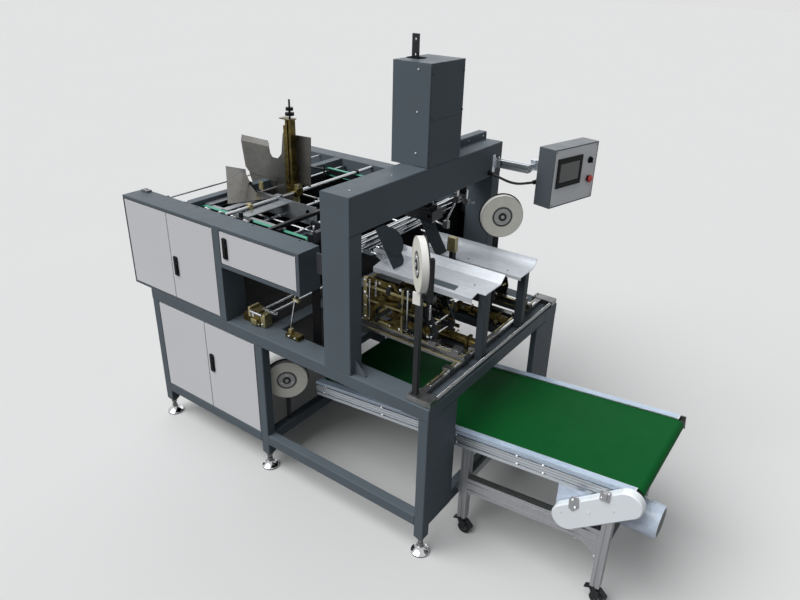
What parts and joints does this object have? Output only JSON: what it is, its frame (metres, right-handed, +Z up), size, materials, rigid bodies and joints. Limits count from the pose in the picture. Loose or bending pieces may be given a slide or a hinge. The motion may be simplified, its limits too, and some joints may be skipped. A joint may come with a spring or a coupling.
{
  "type": "corner pasting machine",
  "caption": "Corner taping machine for box trays: carton feeder with hopper, press gantry over a forming die, tape reels, belt conveyor and control panel.",
  "frame": {"origin": "middle of the whole outline, on the floor", "axes": "+X towards the discharge end with the conveyor, +Y away from the operator side, +Z up"},
  "size_m": [2.839, 1.6538, 2.16],
  "materials": {
    "aluminium": "anodised profile",
    "belt_rubber": "smooth green belt",
    "black_plastic": "moulded, matt",
    "brass_plating": "yellow zinc plating",
    "cable": "black cable sheath",
    "door_paint": "satin powder coat, light grey-white",
    "feed_belt_rubber": "light green flat belt",
    "frame_paint": "satin powder coat, slate grey",
    "motor_paint": "pale paint",
    "red_plastic": "moulded, gloss",
    "steel": "ground and bright",
    "tape": "white moulded reel with paper tape",
    "white_plastic": "white paint"
  },
  "bodies": {
    "machine": {"base_posts": "frame_paint", "base_stretchers": "frame_paint", "bay_linkage": "brass_plating", "bed_beams": "frame_paint", "cable_glands": "black_plastic", "conveyor_belt": "belt_rubber", "conveyor_casters": "black_plastic", "conveyor_drums": "steel", "conveyor_legs": "aluminium", "conveyor_rails": "aluminium", "conveyor_stretchers": "aluminium", "deck_cross_beams": "frame_paint", "deck_long_beams": "frame_paint", "drive_cover": "white_plastic", "drive_motor": "motor_paint", "emergency_stop": "red_plastic", "end_rails": "steel", "feed_belts": "feed_belt_rubber", "feed_guides": "black_plastic", "feeder_frame": "frame_paint", "feeder_shafts": "steel", "feeder_tables": "steel", "forming_frames": "brass_plating", "gantry_beam": "frame_paint", "gantry_columns": "frame_paint", "guide_chutes": "aluminium", "head_rollers": "steel", "hopper_column": "brass_plating", "hopper_knobs": "black_plastic", "hopper_plate": "steel", "leveling_feet": "steel", "lower_panels": "frame_paint", "panel_arm": "aluminium", "panel_box": "frame_paint", "panel_cable": "cable", "panel_controls": "black_plastic", "panel_face": "steel", "press_tower": "frame_paint", "shield_plates": "frame_paint", "side_compartment": "frame_paint", "slide_rails": "brass_plating", "tape_brackets": "black_plastic", "transfer_rollers": "steel", "upper_cabinet": "frame_paint"},
    "upper_left_leaf": {"upper_door_left": "door_paint"},
    "upper_right_leaf": {"upper_door_right": "door_paint", "upper_door_lock": "black_plastic"},
    "side_leaf": {"side_door": "door_paint", "side_door_lock": "black_plastic"},
    "lower_left_leaf": {"lower_door_left": "door_paint"},
    "lower_right_leaf": {"lower_door_right": "door_paint", "lower_door_lock": "black_plastic"},
    "press_ram": {"press_ram": "steel", "press_head": "steel"},
    "reel_front_right": {"tape_reel_front_right": "tape"},
    "reel_rear_right": {"tape_reel_rear_right": "tape"},
    "reel_front_left": {"tape_reel_front_left": "tape"},
    "reel_rear_left": {"tape_reel_rear_left": "tape"}
  },
  "joints": [
    {"name": "upper_left_leaf_hinge", "type": "hinge", "parent": "machine", "child": "upper_left_leaf", "pos_m": [-1.4015, -0.7305, 1.053], "axis": [0, 0, -1], "range_deg": [0, 105]},
    {"name": "upper_right_leaf_hinge", "type": "hinge", "parent": "machine", "child": "upper_right_leaf", "pos_m": [-0.7335, -0.7305, 1.053], "axis": [0, 0, 1], "range_deg": [0, 105]},
    {"name": "side_leaf_hinge", "type": "hinge", "parent": "machine", "child": "side_leaf", "pos_m": [-0.1945, -0.7305, 1.204], "axis": [0, 0, 1], "range_deg": [0, 105]},
    {"name": "lower_left_leaf_hinge", "type": "hinge", "parent": "machine", "child": "lower_left_leaf", "pos_m": [-1.2255, -0.7305, 0.48], "axis": [0, 0, -1], "range_deg": [0, 105]},
    {"name": "lower_right_leaf_hinge", "type": "hinge", "parent": "machine", "child": "lower_right_leaf", "pos_m": [-0.5025, -0.7305, 0.48], "axis": [0, 0, 1], "range_deg": [0, 105]},
    {"name": "press_ram_slide", "type": "slide", "parent": "machine", "child": "press_ram", "axis": [0, 0, 1], "range_m": [-0.22, 0]},
    {"name": "tape_reel_front_right_spin", "type": "hinge", "parent": "machine", "child": "reel_front_right", "pos_m": [0.4605, -0.7428, 1.437], "axis": [0.7071, 0.7071, 0], "continuous": true},
    {"name": "tape_reel_rear_right_spin", "type": "hinge", "parent": "machine", "child": "reel_rear_right", "pos_m": [0.2915, 0.2135, 1.325], "axis": [0.7071, -0.7071, 0], "continuous": true},
    {"name": "tape_reel_front_left_spin", "type": "hinge", "parent": "machine", "child": "reel_front_left", "pos_m": [-0.4305, -0.5945, 0.498], "axis": [0.7071, -0.7071, 0], "continuous": true},
    {"name": "tape_reel_rear_left_spin", "type": "hinge", "parent": "machine", "child": "reel_rear_left", "pos_m": [-0.4305, 0.3565, 0.498], "axis": [0.7071, 0.7071, 0], "continuous": true}
  ]
}
